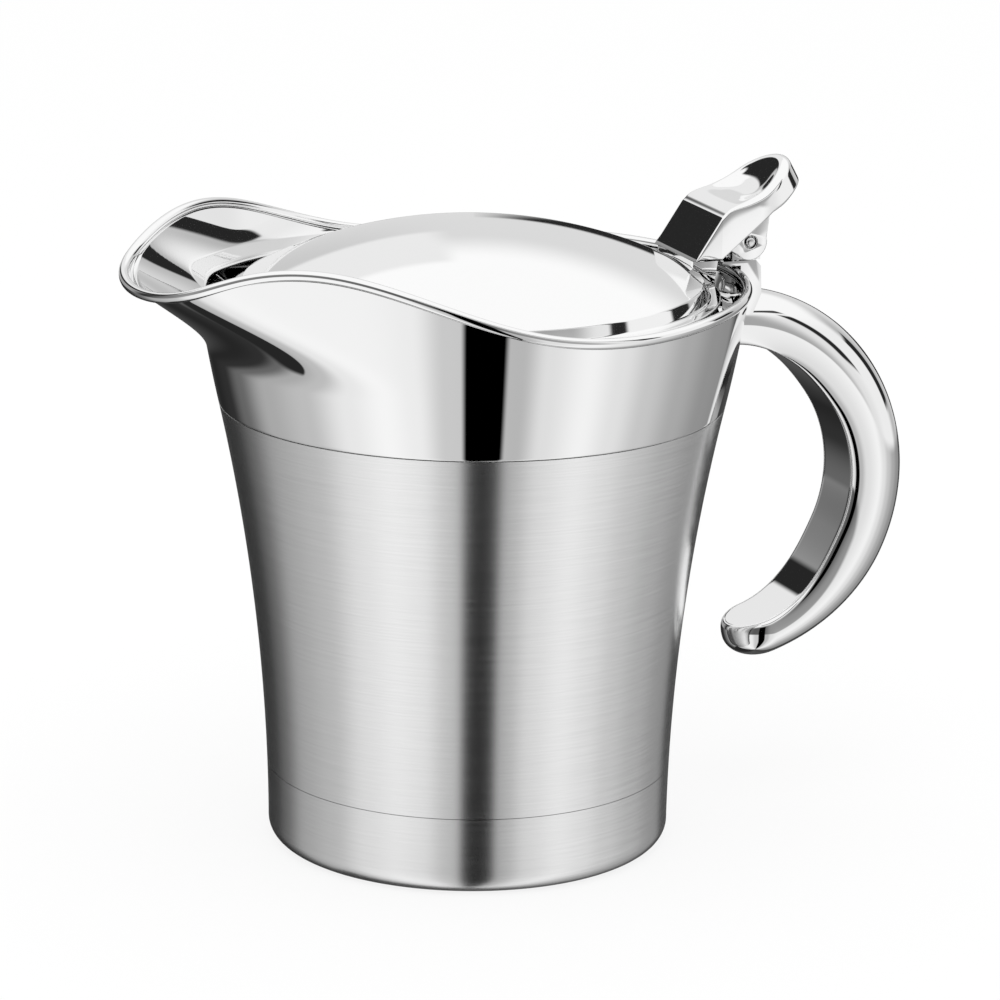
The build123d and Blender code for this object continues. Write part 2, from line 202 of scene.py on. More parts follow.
BRUSHED = lined_steel("brushed steel", (0.82, 0.97), (0.2, 0.28), bump=0.5, lines=3000.0, stretch=0.8)
SATIN = lined_steel("satin steel", (0.7, 0.86), (0.12, 0.22), bump=0.3, lines=2500.0, stretch=0.0)
POLISHED = steel("polished steel", 0.93, 0.015)
RIM_POLISH = steel("polished rim", 0.95, 0.03)
LID_POLISH = steel("polished lid", 0.96, 0.05)
HANDLE_POLISH = steel("polished handle", 0.93, 0.02)
CAST_POLISH = steel("polished casting", 0.95, 0.04)
PIN_STEEL = steel("pin steel", 0.8, 0.15)
print("finishes:", [material.name for material in bpy.data.materials])

# %% [markdown]
# ## Turned and pressed shapes as rows of rings
# A pressed steel piece is a thin shell with an outside and an inside. Both are rows of rings, so one
# helper can skin any list of rings. Points that coincide are merged and the faces are turned outwards.


# %% Helpers that make a piece
def finish_piece(name, mesh, material, body, node, sharp=35):
    """Names a finished mesh, gives it its metal and puts it on its body in place of the CAD node."""
    shape = bmesh.new()
    shape.from_mesh(mesh)
    bmesh.ops.remove_doubles(shape, verts=shape.verts, dist=1e-7)
    bmesh.ops.dissolve_degenerate(shape, edges=shape.edges, dist=1e-8)
    bmesh.ops.recalc_face_normals(shape, faces=shape.faces)
    shape.to_mesh(mesh)
    shape.free()
    mesh.name = name
    mesh.materials.clear()
    mesh.materials.append(material)
    mesh.polygons.foreach_set("use_smooth", [True] * len(mesh.polygons))
    mesh.set_sharp_from_angle(angle=radians(sharp))
    piece = bpy.data.objects.new(name, mesh)
    bpy.context.scene.collection.objects.link(piece)
    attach(piece, body)
    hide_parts(node)
    print(f"{name}: {len(mesh.polygons)} faces")


def ring_mesh(rings, wrap=True, ends=False):
    """Quads between rings of points in millimetres. With wrap, the last ring joins the first."""
    rings = np.asarray(rings, float)
    rows, around = rings.shape[:2]
    faces = []
    for i in range(rows if wrap else rows - 1):
        j = (i + 1) % rows
        for k in range(around):
            m = (k + 1) % around
            faces.append((i * around + k, i * around + m, j * around + m, j * around + k))
    if ends:
        faces.append(tuple(range(around)))
        faces.append(tuple((rows - 1) * around + k for k in reversed(range(around))))
    mesh = bpy.data.meshes.new("rings")
    mesh.from_pydata((rings.reshape(-1, 3) * MM).tolist(), [], faces)
    return mesh


def lathe(profile, around=256):
    """A closed profile of (radius, height) points turned round the boat's axis."""
    angle = np.linspace(0, 2 * pi, around, endpoint=False)
    rings = [np.stack((r * np.cos(angle), r * np.sin(angle), np.full(around, z)), 1) for r, z in profile]
    return ring_mesh(rings)


def rounded(points, radii, steps=8):
    """A line of (x, z) points with each inner corner rounded by its radius."""
    line = [np.array(points[0], float)]
    for i in range(1, len(points) - 1):
        before, corner, after = (np.array(points[j], float) for j in (i - 1, i, i + 1))
        u = (before - corner) / np.linalg.norm(before - corner)
        v = (after - corner) / np.linalg.norm(after - corner)
        radius = radii[i - 1]
        opening = np.arccos(np.clip(u @ v, -1, 1))
        if radius <= 0 or opening > pi - 0.01:
            line.append(corner)
            continue
        reach = radius / np.tan(opening / 2)
        centre = corner + (u + v) / np.linalg.norm(u + v) * radius / np.sin(opening / 2)
        a, b = corner + u * reach - centre, corner + v * reach - centre
        for t in np.linspace(0, 1, steps):
            turned = a * np.sin((1 - t) * (pi - opening)) + b * np.sin(t * (pi - opening))
            line.append(centre + turned / np.sin(pi - opening))
    line.append(np.array(points[-1], float))
    return line


# %% [markdown]
# ## The brushed outer wall
# The real wall is a tube pressed outwards, so its radius follows one long arc. That is a rule, and a
# rule suits Geometry Nodes: a flat grid is rolled up, each row gets the radius that the arc has at its
# height, and Solidify gives the sheet its thickness.


# %% A node tree that rolls a grid into the flared wall
def metal_end(tree, geometry, inside, outside):
    """Ends a tree: the geometry becomes a real mesh and gets the metal of the tree's input."""
    real = tree.nodes.new("GeometryNodeRealizeInstances")
    metal = tree.nodes.new("GeometryNodeSetMaterial")
    link(tree, geometry, real.inputs[0])
    link(tree, real.outputs[0], metal.inputs["Geometry"])
    link(tree, inside.outputs["Metal"], metal.inputs["Material"])
    link(tree, metal.outputs[0], outside.inputs[0])


def flared_wall_tree():
    """The wall's node tree. Its lengths are in metres and its inputs are set for each use."""
    inputs = {
        "Geometry": ["Geometry"],
        "Float": ["Foot radius", "Flare radius", "Low edge", "High edge"],
        "Int": ["Around", "Rows"],
        "Material": ["Metal"],
    }
    tree, inside, outside = new_tree("flared wall", "GeometryNodeTree", inputs, "Geometry", "Geometry")
    grid = tree.nodes.new("GeometryNodeMeshGrid")
    link(tree, inside.outputs["Around"], grid.inputs["Vertices X"])
    link(tree, inside.outputs["Rows"], grid.inputs["Vertices Y"])
    place = tree.nodes.new("GeometryNodeInputPosition")
    split = tree.nodes.new("ShaderNodeSeparateXYZ")
    link(tree, place.outputs[0], split.inputs[0])
    turn = math_node(tree, "MULTIPLY", split.outputs[0], 2 * pi)
    part = math_node(tree, "ADD", split.outputs[1], 0.5)
    tall = math_node(tree, "SUBTRACT", inside.outputs["High edge"], inside.outputs["Low edge"])
    height = math_node(tree, "ADD", math_node(tree, "MULTIPLY", part, tall), inside.outputs["Low edge"])
    flare = inside.outputs["Flare radius"]
    flare_squared = math_node(tree, "MULTIPLY", flare, flare)
    height_squared = math_node(tree, "MULTIPLY", height, height)
    squares = math_node(tree, "SUBTRACT", flare_squared, height_squared)
    widest = math_node(tree, "ADD", inside.outputs["Foot radius"], flare)
    radius = math_node(tree, "SUBTRACT", widest, math_node(tree, "SQRT", squares))
    join = tree.nodes.new("ShaderNodeCombineXYZ")
    link(tree, math_node(tree, "MULTIPLY", radius, math_node(tree, "COSINE", turn)), join.inputs[0])
    link(tree, math_node(tree, "MULTIPLY", radius, math_node(tree, "SINE", turn)), join.inputs[1])
    link(tree, height, join.inputs[2])
    move = tree.nodes.new("GeometryNodeSetPosition")
    link(tree, grid.outputs["Mesh"], move.inputs["Geometry"])
    link(tree, join.outputs[0], move.inputs["Position"])
    merge = tree.nodes.new("GeometryNodeMergeByDistance")
    merge.inputs["Distance"].default_value = 1e-6
    link(tree, move.outputs[0], merge.inputs["Geometry"])
    metal_end(tree, merge.outputs[0], inside, outside)
    return tree


# %% A helper that runs a node tree and keeps the plain mesh
def grown(tree, values, base=None, thickness=0.0):
    """Runs a Geometry Nodes tree with named values and gives back its result as a plain mesh."""
    holder = bpy.data.objects.new("holder", base or bpy.data.meshes.new("holder"))
    bpy.context.scene.collection.objects.link(holder)
    modifier = holder.modifiers.new("shape", "NODES")
    modifier.node_group = tree
    for item in tree.interface.items_tree:
        if item.in_out == "INPUT" and item.name in values:
            modifier[item.identifier] = values[item.name]
    if thickness:
        wall = holder.modifiers.new("sheet", "SOLIDIFY")
        wall.thickness = thickness
        wall.offset = -1.0
    bpy.context.view_layer.update()
    evaluated = holder.evaluated_get(bpy.context.evaluated_depsgraph_get())
    mesh = bpy.data.meshes.new_from_object(evaluated)
    holder.modifiers.clear()
    bpy.data.objects.remove(holder)
    return mesh


SEAM_GROOVE = 0.12
wall_values = {
    "Foot radius": FOOT_RADIUS * MM,
    "Flare radius": FLARE_RADIUS * MM,
    "Low edge": (CUP_TOP + SEAM_GROOVE) * MM,
    "High edge": (SEAM - SEAM_GROOVE) * MM,
    "Around": 321,
    "Rows": 60,
    "Metal": BRUSHED,
}
wall_mesh = grown(flared_wall_tree(), wall_values, thickness=SHEET * MM)
finish_piece("outer_wall", wall_mesh, BRUSHED, "boat", "outer_shell")

# %% [markdown]
# ## The base cup
# The foot is a shallow drawn cup with a flat underside and a rounded edge. It has the same long arc as
# the wall above it, and its upper edge leaves the fine line that runs round the foot.

# %% Base cup
CUP_ROUND, CUP_ROUND_TOP = 4.0, 5.0
cup_side = [(float(body_radius(z)), float(z)) for z in np.linspace(CUP_ROUND_TOP, CUP_TOP, 12)]
cup_outside = rounded([(0, 0), (FOOT_RADIUS, 0), cup_side[0]], [CUP_ROUND], 12) + cup_side[1:]
cup_inside = [(r - SHEET, z) for r, z in reversed(cup_side)]
cup_corner = (FOOT_RADIUS - SHEET, SHEET)
cup_inside += rounded([cup_inside[-1], cup_corner, (0, SHEET)], [CUP_ROUND - SHEET], 12)
finish_piece(
    "foot_cup", lathe(cup_outside + cup_inside), BRUSHED, "boat", "base_cup"
)

# %% [markdown]
# ## The collar and its spout
# The collar starts round at the seam and is drawn out into the spout: at each height its outline is a
# round body and a smaller round nose, joined by straight flanks. A mirror finish shows every break in
# curvature, so the outline is averaged over a few degrees, as the real pressing is.


# %% The outline of the collar at any height
def smooth_step(value, low, high):
    """0 below low, 1 above high and smooth between."""
    t = np.clip((value - low) / (high - low), 0, 1)
    return t * t * (3 - 2 * t)


def raw_outline(angle, z, inset):
    """Distance from the axis of the collar's outline, before it is averaged."""
    rise = z - SEAM
    # how far the spout is drawn out at this height, and where the nose's centre then lies
    reach = SPOUT_SWELL * smooth_step(rise, SPOUT_START, SPOUT_TOP)
    centre = reach / (1 + cos(FLANK))
    body = SEAM_RADIUS + COLLAR_SLOPE * rise + COLLAR_BEND * rise**2 - inset
    # the nose's radius is the one at which the flank touches both rounds
    nose = body + centre * cos(FLANK)
    turn = np.abs((angle + pi) % (2 * pi) - pi)
    flank_end = np.arctan2(nose * sin(FLANK), nose * cos(FLANK) - centre)
    flank = body / np.maximum(np.cos(np.minimum(turn, flank_end) - FLANK), 0.1)
    root = np.sqrt(np.maximum(nose**2 - (centre * np.sin(turn)) ** 2, 0))
    tip = root - centre * np.cos(turn)
    return np.where(turn <= FLANK, body, np.where(turn <= flank_end, flank, tip))


# the bell's width, which softens the change from body to flank and from flank to nose
BLEND = radians(4.5)


def outline(angle, z, inset):
    """The collar's outline, averaged over a few degrees with a bell-shaped weight."""
    offsets = np.linspace(-2.5, 2.5, 15)
    weights = np.exp(-(offsets**2) / 2)
    spread = [raw_outline(angle + o * BLEND, z, inset) * w for o, w in zip(offsets, weights)]
    r = np.sum(spread, 0) / weights.sum()
    return np.stack((r * np.cos(angle), r * np.sin(angle), z), -1)


spout_tip = float(outline(np.array([pi]), np.array([SEAM + SPOUT_TOP]), 0.0)[0, 0])
print("the spout reaches to x =", round(spout_tip, 1), "mm")

# %% The rim's line: how high it runs over each part of the boat, as shares of its rises and falls
TIP_REACH, TIP_RISE, SHOULDER_REACH, SHOULDER_RISE, BACK_RISE = 77.1, 30.0, 48.0, 38.8, 26.0
NECK = TIP_REACH - SHOULDER_REACH
SPAN = SHOULDER_REACH + RIM_RADIUS
CLIMB = SHOULDER_RISE - TIP_RISE
FALL = SHOULDER_RISE - RIM_RISE
OVERSHOOT = 10
rim_points = [
    (-TIP_REACH - OVERSHOOT, TIP_RISE - 0.4 * CLIMB),
    (-TIP_REACH + 0.12 * NECK, TIP_RISE + 0.1 * CLIMB),
    (-SHOULDER_REACH - 0.48 * NECK, SHOULDER_RISE - 0.26 * CLIMB),
    (-SHOULDER_REACH, SHOULDER_RISE),
    (-SHOULDER_REACH + 0.17 * SPAN, SHOULDER_RISE - 0.33 * FALL),
    (-SHOULDER_REACH + 0.36 * SPAN, RIM_RISE + 0.19 * FALL),
    (-SHOULDER_REACH + 0.56 * SPAN, RIM_RISE),
    (-SHOULDER_REACH + 0.81 * SPAN, RIM_RISE + 0.04 * FALL),
    (RIM_RADIUS + OVERSHOOT, BACK_RISE),
]
rim_x, rim_z = np.transpose(rim_points)
rim_z = rim_z + SEAM


def rim_line(x):
    """Height of the rim above x: a smooth line through the rim's named points."""
    h = np.diff(rim_x)
    slope = np.diff(rim_z) / h
    n = len(rim_x)
    # each inner point gets the bend at which the cubics on both sides share their slope
    system = np.eye(n)
    right = np.zeros(n)
    for i in range(1, n - 1):
        system[i, i - 1 : i + 2] = h[i - 1], 2 * (h[i - 1] + h[i]), h[i]
        right[i] = 6 * (slope[i] - slope[i - 1])
    bend = np.linalg.solve(system, right)
    i = np.clip(np.searchsorted(rim_x, x) - 1, 0, n - 2)
    a, b = rim_x[i + 1] - x, x - rim_x[i]
    cubic = (bend[i] * a**3 + bend[i + 1] * b**3) / (6 * h[i])
    low = (rim_z[i] / h[i] - bend[i] * h[i] / 6) * a
    return cubic + low + (rim_z[i + 1] / h[i] - bend[i + 1] * h[i] / 6) * b


AROUND = 360
ABOVE_RIM, HALVINGS = 45.0, 24
ANGLES = np.linspace(0, 2 * pi, AROUND, endpoint=False)


def rim_height(inset, drop):
    """At each angle, the height at which the outline meets the rim's line, found by halving."""
    low = np.full(AROUND, SEAM)
    high = np.full(AROUND, SEAM + ABOVE_RIM)
    for _ in range(HALVINGS):
        middle = (low + high) / 2
        above = middle > rim_line(outline(ANGLES, middle, inset)[:, 0]) - drop
        high = np.where(above, middle, high)
        low = np.where(above, low, middle)
    return (low + high) / 2


RIM_TOP = rim_height(RIM_STACK / 2, 0.0)
print("rim from", round(RIM_TOP.min(), 1), "to", round(RIM_TOP.max(), 1), "mm")


# %% Collar and liner, each a thin shell up to the rim
# below 1, the rings lie closer together towards the rim
CROWDING = 0.9


def shell_rings(outside, inside, rows, edge=0.0):
    """Rings up the outside and down the inside. A small edge rounds the shell's lower border."""
    climb = RIM_TOP - RIM_DEPTH - SEAM
    heights = [SEAM + climb * t for t in np.linspace(0, 1, rows) ** CROWDING]
    up = [outline(ANGLES, z, outside(z)) for z in heights]
    down = [outline(ANGLES, z, inside(z)) for z in heights]
    if edge:
        lip = []
        for t in np.linspace(0, pi / 2, 5):
            z = np.full(AROUND, SEAM + edge * (1 - cos(t)))
            lip.append(outline(ANGLES, z, edge * (1 - sin(t))))
        up = lip + up[1:]
    return up + down[::-1]


MERGE_START, MERGE_END = 6.0, 20.0


def liner_inset(z):
    """Inset of the liner's outer face: the air gap below, closing on the collar at the rim."""
    closed = smooth_step(z - SEAM, MERGE_START, MERGE_END)
    return SHEET + LAP + (AIR_GAP - LAP) * (1 - closed)


COLLAR_EDGE = 0.25
collar_mesh = ring_mesh(shell_rings(lambda z: 0.0, lambda z: SHEET, 70, COLLAR_EDGE))
finish_piece("collar", collar_mesh, POLISHED, "boat", "spout_collar", 60)
liner_mesh = ring_mesh(shell_rings(liner_inset, lambda z: liner_inset(z) + SHEET, 60))
finish_piece("liner", liner_mesh, POLISHED, "boat", "spout_liner", 60)

# %% [markdown]
# ## The inner vessel
# Under the liner the gravy is held by a drawn cup with a rounded floor, a few millimetres inside the
# outer wall. It shows when the lid is open. A turned profile describes all of it.

# %% Inner vessel
FLOOR, FLOOR_FILLET, SIDE_END = 8.0, 9.0, 22.0
VESSEL_GAP = float(liner_inset(SEAM))
vessel_heights = np.linspace(SEAM - LAP, SIDE_END, 40)
vessel_bore = [(float(body_radius(z)) - VESSEL_GAP - SHEET, float(z)) for z in vessel_heights]
foot_bore = float(body_radius(FLOOR)) - VESSEL_GAP - SHEET
floor_line = [vessel_bore[-1], (foot_bore, FLOOR + SHEET), (0, FLOOR + SHEET)]
bore = vessel_bore + rounded(floor_line, [FLOOR_FILLET - SHEET], 14)[1:]
wall = [(r + SHEET, z) for r, z in reversed(vessel_bore)]
back = rounded([(0, FLOOR), (foot_bore + SHEET, FLOOR), wall[0]], [FLOOR_FILLET], 14)
finish_piece(
    "vessel", lathe(bore + back[:-1] + wall), SATIN, "boat", "inner_vessel"
)

# %% [markdown]
# ## The rolled rim
# Where the collar and the liner meet, the real edge is rolled, welded and polished to a rounded bead
# that follows the waves of the spout. A bead that follows a path is a sweep: a node tree takes the
# path, sweeps a rounded rectangle along it and sets the metal.


# %% A node tree that sweeps a rounded bead along a path
def bead_tree():
    """The bead's node tree. It takes a mesh of edges and lengths in metres."""
    inputs = {"Geometry": ["Geometry"], "Float": ["Width", "Height", "Round"], "Material": ["Metal"]}
    tree, inside, outside = new_tree("bead", "GeometryNodeTree", inputs, "Geometry", "Geometry")
    path = tree.nodes.new("GeometryNodeMeshToCurve")
    upright = tree.nodes.new("GeometryNodeSetCurveNormal")
    upright.mode = "Z_UP"
    section = tree.nodes.new("GeometryNodeCurvePrimitiveQuadrilateral")
    corners = tree.nodes.new("GeometryNodeFilletCurve")
    corners.mode = "POLY"
    corners.inputs["Count"].default_value = 6
    sweep = tree.nodes.new("GeometryNodeCurveToMesh")
    link(tree, inside.outputs["Geometry"], path.inputs["Mesh"])
    link(tree, path.outputs[0], upright.inputs[0])
    link(tree, upright.outputs[0], sweep.inputs["Curve"])
    link(tree, inside.outputs["Width"], section.inputs["Width"])
    link(tree, inside.outputs["Height"], section.inputs["Height"])
    link(tree, section.outputs[0], corners.inputs[0])
    link(tree, inside.outputs["Round"], corners.inputs["Radius"])
    link(tree, corners.outputs[0], sweep.inputs["Profile Curve"])
    metal_end(tree, sweep.outputs[0], inside, outside)
    return tree


def path_mesh(points):
    """A closed path as a mesh of edges, in metres."""
    mesh = bpy.data.meshes.new("path")
    count = len(points)
    mesh.from_pydata((points * MM).tolist(), [(i, (i + 1) % count) for i in range(count)], [])
    return mesh


# %% Rim band
BEAD_SLACK, BEAD_ROUND = 0.08, 0.96
BEAD_WIDTH = RIM_STACK + 2 * (RIM_LIP - BEAD_SLACK)
rim_path = outline(ANGLES, RIM_TOP, RIM_STACK / 2)
rim_path[:, 2] -= RIM_DEPTH / 2
bead_values = {
    "Width": BEAD_WIDTH * MM,
    "Height": RIM_DEPTH * MM,
    "Round": BEAD_ROUND * MM,
    "Metal": RIM_POLISH,
}
rim_mesh = grown(bead_tree(), bead_values, path_mesh(rim_path))
finish_piece("rim_bead", rim_mesh, RIM_POLISH, "boat", "rim_band", 50)

# %% [markdown]
# ## The lid
# The lid is one stamping: a shallow dome, a step down at its edge and a narrow flange. The dome is
# part of a ball, so the arc comes from its height and its radius.

# %% Lid
LID_GAP, LID_DROP = 4.6, 2.0
FLANGE, FLANGE_LIFT, STEP_LEAN, STEP_RISE = 3.6, 0.2, 1.0, 3.0
DOME, LID_SHEET = 12.0, 0.8
DOME_END = 1.5
STEP_ROUND, LID_LIP_ROUND, INNER_ROUND = 0.9, 0.36, 0.1
LID_RADIUS = RIM_RADIUS - RIM_STACK - LID_GAP
LID_EDGE = SEAM + RIM_RISE - LID_DROP
DOME_RADIUS = LID_RADIUS - FLANGE
DOME_BASE = LID_EDGE + STEP_RISE
BALL = (DOME_RADIUS**2 + DOME**2) / (2 * DOME)
BALL_CENTRE = DOME_BASE + DOME - BALL


def dome(r, inset):
    """A point of the ball that the dome is cut from, at a radius and an inset from its outside."""
    return (float(r), float(BALL_CENTRE + sqrt((BALL - inset) ** 2 - r**2)))


crown = [dome(r, 0) for r in np.linspace(0, DOME_RADIUS - DOME_END, 60)]
edge = rounded(
    [
        crown[-1],
        (DOME_RADIUS, DOME_BASE),
        (DOME_RADIUS + STEP_LEAN, LID_EDGE),
        (LID_RADIUS, LID_EDGE + FLANGE_LIFT),
        (LID_RADIUS, LID_EDGE + FLANGE_LIFT - LID_SHEET),
        (DOME_RADIUS + STEP_LEAN - LID_SHEET, LID_EDGE - LID_SHEET),
        dome(DOME_RADIUS - LID_SHEET, LID_SHEET),
    ],
    [STEP_ROUND, STEP_ROUND, LID_LIP_ROUND, LID_LIP_ROUND, INNER_ROUND],
    8,
)
under = [dome(r, LID_SHEET) for r in np.linspace(DOME_RADIUS - LID_SHEET, 0, 40)]
lid_mesh = lathe(crown + edge[1:] + under[1:], 320)
finish_piece("lid_dome", lid_mesh, LID_POLISH, "lid_assembly", "lid", 60)

# %% [markdown]
# ## The handle
# The handle is a D-shaped tube bent to an arc, with its end rounded as if the section were spun
# round its own middle. A strip closes the palm side. Both pieces are the same sweep with a different
# section, so one function makes them.


# %% A section swept along the handle's arc and closed by half a turn
PALM = HANDLE_RADIUS - HANDLE_DEPTH
TAPER_START, TAPER_END, TAPER_PALM, TAPER_BACK = -25.0, -75.0, 3.2, 1.8
ROOT_START, ROOT_PALM = 35.0, 3.2


def slimmed(half, angle):
    """The section at an angle: it slims towards both ends, mostly on the palm side."""
    share = smooth_step(-angle, -TAPER_START, -TAPER_END)
    root = smooth_step(angle, ROOT_START, HANDLE_START)
    palm, back = PALM + TAPER_PALM * share + ROOT_PALM * root, HANDLE_RADIUS - TAPER_BACK * share
    radius = palm + (half[:, 0] - PALM) * (back - palm) / HANDLE_DEPTH
    return np.stack((radius, half[:, 1]), 1)


ALONG, SPIN = 150, 40


def handle_sweep(half_section):
    """half_section runs from the palm side's middle to the back's middle, as (radius, half width)."""
    half = np.array(half_section, float)
    rings = []
    for angle in np.linspace(HANDLE_START, HANDLE_END, ALONG):
        slim = slimmed(half, angle)
        full = np.concatenate((slim, slim[-2:0:-1] * [1, -1]))
        x = HANDLE_X + full[:, 0] * cos(radians(angle))
        z = HANDLE_Z + full[:, 0] * sin(radians(angle))
        rings.append(np.stack((x, full[:, 1], z), 1))
    tube = ring_mesh(rings, wrap=False)
    shape = bmesh.new()
    shape.from_mesh(tube)
    shape.verts.ensure_lookup_table()
    shape.faces.new([shape.verts[k] for k in range(len(full))])
    end = radians(HANDLE_END)
    # at the free end the half section turns about its own middle line
    out = np.array([cos(end), 0, sin(end)])
    on = np.array([sin(end), 0, -cos(end)])
    centre = np.array([HANDLE_X, 0, HANDLE_Z])
    rows = []
    for spin in np.linspace(0, pi, SPIN):
        row = []
        for r, w in slimmed(half, HANDLE_END):
            point = centre + out * r + on * w * sin(spin)
            point[1] = w * cos(spin)
            row.append(shape.verts.new((point * MM).tolist()))
        rows.append(row)
    for a, b in zip(rows, rows[1:]):
        for k in range(len(half) - 1):
            shape.faces.new((a[k], a[k + 1], b[k + 1], b[k]))
    shape.to_mesh(tube)
    shape.free()
    return tube


# %% The handle's two pieces: the tube's oval back and sides, and the strip between its edges
HALF = HANDLE_WIDTH / 2
STRIP_MARGIN, STRIP_DEPTH, STRIP_SLACK, STRIP_ROUND = 1.6, 0.9, 0.05, 0.25
STRIP_HALF = HALF - STRIP_MARGIN
SLOT_HALF = STRIP_HALF + STRIP_SLACK
STRIP_SIDE = STRIP_HALF - STRIP_SLACK
WIDEST_SHARE = 0.4
WIDEST = PALM + HANDLE_DEPTH * WIDEST_SHARE
oval = [
    (WIDEST + (HANDLE_RADIUS - WIDEST) * sin(t), HALF * cos(t)) for t in np.linspace(0, pi / 2, 28)
]
side = [
    (WIDEST - (WIDEST - PALM) * sin(t), HALF - (HALF - SLOT_HALF) * (1 - cos(t)))
    for t in np.linspace(pi / 2, 0, 14)
]
back_section = [(PALM + STRIP_DEPTH, 0), (PALM + STRIP_DEPTH, SLOT_HALF)] + side + oval[1:]
finish_piece(
    "handle_tube", handle_sweep(back_section), HANDLE_POLISH, "boat", "handle_back", 50
)
strip_edge = rounded([(PALM, 0), (PALM, STRIP_SIDE), (PALM + STRIP_DEPTH, STRIP_SIDE)], [STRIP_ROUND], 6)
strip_section = [(PALM, w) for w in np.linspace(0, STRIP_HALF - 1, 8)]
strip_section += [tuple(p) for p in strip_edge[1:]] + [(PALM + STRIP_DEPTH, 0)]
finish_piece(
    "palm_strip", handle_sweep(strip_section), HANDLE_POLISH, "boat", "handle_face", 50
)

# %% [markdown]
# ## The thumb lever
# The lever is a casting: a flat sloping brow, a long crest that rises to a dished thumb rest, and two
# ears for the hinge pin. The cap is a row of rounded sections along its length. The hollow under it
# and the pin holes are cut as a caster's core would leave them.


# %% Helpers for the lever: smooth lines, prisms and cut-outs
def smooth_line(points, count):
    """Evenly spread points on a smooth line through the given ones."""
    points = np.array(points, float)
    ends = np.concatenate(([2 * points[0] - points[1]], points, [2 * points[-1] - points[-2]]))
    line = []
    for i in range(1, len(ends) - 2):
        a, b, c, d = ends[i - 1 : i + 3]
        square, cube = 2 * a - 5 * b + 4 * c - d, 3 * b - a - 3 * c + d
        for t in np.linspace(0, 1, 40, endpoint=i == len(ends) - 3):
            line.append(0.5 * (2 * b + (c - a) * t + square * t**2 + cube * t**3))
    line = np.array(line)
    way = np.concatenate(([0], np.cumsum(np.linalg.norm(np.diff(line, axis=0), axis=1))))
    even = np.linspace(0, way[-1], count)
    return np.stack([np.interp(even, way, line[:, k]) for k in range(2)], 1)


def prism(profile, low, high):
    """A profile of (x, z) points, from the pin, drawn out along y from low to high."""
    profile = np.array(profile, float)
    rings = [
        np.stack((PIN_X + profile[:, 0], np.full(len(profile), y), PIN_Z + profile[:, 1]), 1)
        for y in (low, high)
    ]
    return ring_mesh(rings, wrap=False, ends=True)


def as_object(mesh):
    """A mesh as an object for modifiers, with its double points merged and its faces outwards."""
    shape = bmesh.new()
    shape.from_mesh(mesh)
    bmesh.ops.remove_doubles(shape, verts=shape.verts, dist=1e-7)
    bmesh.ops.recalc_face_normals(shape, faces=shape.faces)
    shape.to_mesh(mesh)
    shape.free()
    thing = bpy.data.objects.new("work", mesh)
    bpy.context.scene.collection.objects.link(thing)
    return thing


def worked(mesh, cuts=(), bevel=0.0, angle=30):
    """A mesh with other meshes cut out of it and its sharp edges rounded."""
    work = as_object(mesh)
    tools = [as_object(cut) for cut in cuts]
    for tool in tools:
        cut = work.modifiers.new("cut", "BOOLEAN")
        cut.operation = "DIFFERENCE"
        cut.solver = "EXACT"
        cut.object = tool
    if bevel:
        soft = work.modifiers.new("edges", "BEVEL")
        soft.width = bevel * MM
        soft.segments = 3
        soft.limit_method = "ANGLE"
        soft.angle_limit = radians(angle)
    bpy.context.view_layer.update()
    evaluated = work.evaluated_get(bpy.context.evaluated_depsgraph_get())
    result = bpy.data.meshes.new_from_object(evaluated)
    for thing in [work] + tools:
        bpy.data.objects.remove(thing)
    return result


def joined(*meshes):
    """Several meshes as one."""
    whole = bmesh.new()
    for mesh in meshes:
        whole.from_mesh(mesh)
    result = bpy.data.meshes.new("joined")
    whole.to_mesh(result)
    whole.free()
    return result


# %% The lever's side view, in millimetres from the pin
LEVER_HALF = 10.7
BROW_FOOT, BROW_TOP = (-13.7, -3.3), (-7.4, 6.0)
TIP_TOP, TIP_FOOT = (11.4, 17.5), (14.3, 12.2)
TIP_LEAN = TIP_FOOT[0] - TIP_TOP[0]
TIP_START = TIP_TOP[0] - LEVER_HALF
BROW_ROUND = 0.4
crest = smooth_line([BROW_TOP, (-5.2, 7.8), (-0.8, 9.3), (3.0, 11.1), (7.0, 14.2), TIP_TOP], 200)
belly = smooth_line([(4.7, 6.4), (7.7, 7.9), (10.2, 9.6), (12.4, 11.1), TIP_FOOT], 100)
cheek = np.array([BROW_FOOT, (-7.4, -3.3), (-5.5, -1.8)])
brow = np.array(rounded([BROW_FOOT, BROW_TOP, crest[3]], [BROW_ROUND], 6))
top_line = np.concatenate((brow, crest[4:]))
bottom_line = np.concatenate((cheek, belly))
print("the lever is", round(TIP_FOOT[0] - BROW_FOOT[0], 1), "mm long")

# %% One ring of the lever's cap
BROW_EDGE, TIP_EDGE, EDGE_FULL, FOOT_EDGE = 0.7, 1.7, 2.0, 0.6
DISH_DEPTH, DISH_START, DISH_FULL = 2.0, -5.0, 6.0
# the dish is flat in its middle and rises fast to its border: these powers set how fast
DISH_FLATNESS, DISH_BORDER = 4, 1.5
ACROSS = 73


